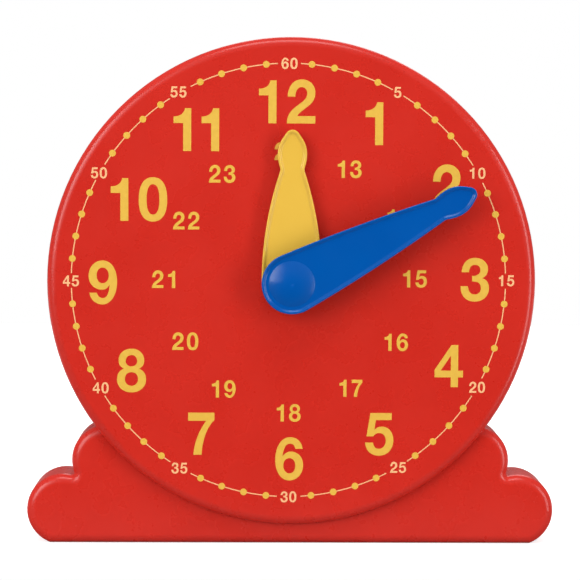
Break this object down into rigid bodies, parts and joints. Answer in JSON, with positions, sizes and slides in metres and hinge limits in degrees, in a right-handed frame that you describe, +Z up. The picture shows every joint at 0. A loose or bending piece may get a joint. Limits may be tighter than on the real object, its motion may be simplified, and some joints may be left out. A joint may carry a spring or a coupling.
{
  "type": "geared teaching clock",
  "caption": "Classroom teaching clock: round red dial on a cloud-shaped foot, with a short yellow and a long blue hand geared together.",
  "frame": {"origin": "middle of the flat face under the foot that the clock rests on, level with the mid depth of the foot", "axes": "+Z up, -Y out of the dial towards the class, +X to the right of the dial as it is read; lengths in metres"},
  "size_m": [0.3138, 0.0564, 0.3003],
  "materials": {
    "shell_red": "satin-gloss moulded ABS",
    "hand_blue": "satin-gloss moulded ABS",
    "hand_yellow": "satin-gloss moulded ABS",
    "gear_acetal": "natural acetal",
    "bridge_grey": "fine grain",
    "bearing_brass": "turned",
    "pin_steel": "turned",
    "spring_steel": "tempered",
    "screw_steel": "zinc plated"
  },
  "bodies": {
    "case": {"front_housing": "shell_red", "rear_cover": "shell_red", "cover_screws": "screw_steel", "bridge_screws": "screw_steel", "movement_bridge": "bridge_grey", "dial_bush": "bearing_brass", "hour_washer": "pin_steel", "intermediate_stud": "pin_steel", "stud_washer": "pin_steel", "friction_washer": "spring_steel", "clip_washer": "pin_steel"},
    "minute_work": {"minute_arbor": "pin_steel", "arbor_clip": "spring_steel", "minute_pinion": "gear_acetal", "minute_hand": "hand_blue"},
    "intermediate_work": {"intermediate_wheel": "gear_acetal", "intermediate_pinion": "gear_acetal"},
    "hour_work": {"hour_wheel": "gear_acetal", "hour_pipe": "bearing_brass", "hour_hand": "hand_yellow"}
  },
  "joints": [
    {"name": "minute_turn", "type": "hinge", "parent": "case", "child": "minute_work", "pos_m": [0, 0, 0.1563], "axis": [0, 1, 0], "continuous": true},
    {"name": "intermediate_turn", "type": "hinge", "parent": "case", "child": "intermediate_work", "pos_m": [0, 0, 0.12608], "axis": [0, 1, 0], "continuous": true},
    {"name": "hour_turn", "type": "hinge", "parent": "case", "child": "hour_work", "pos_m": [0, 0, 0.1563], "axis": [0, 1, 0], "continuous": true}
  ],
  "couplings": [
    {"joint": "intermediate_turn", "follows": "minute_turn", "ratio": -0.33333},
    {"joint": "hour_turn", "follows": "minute_turn", "ratio": 0.083333}
  ]
}
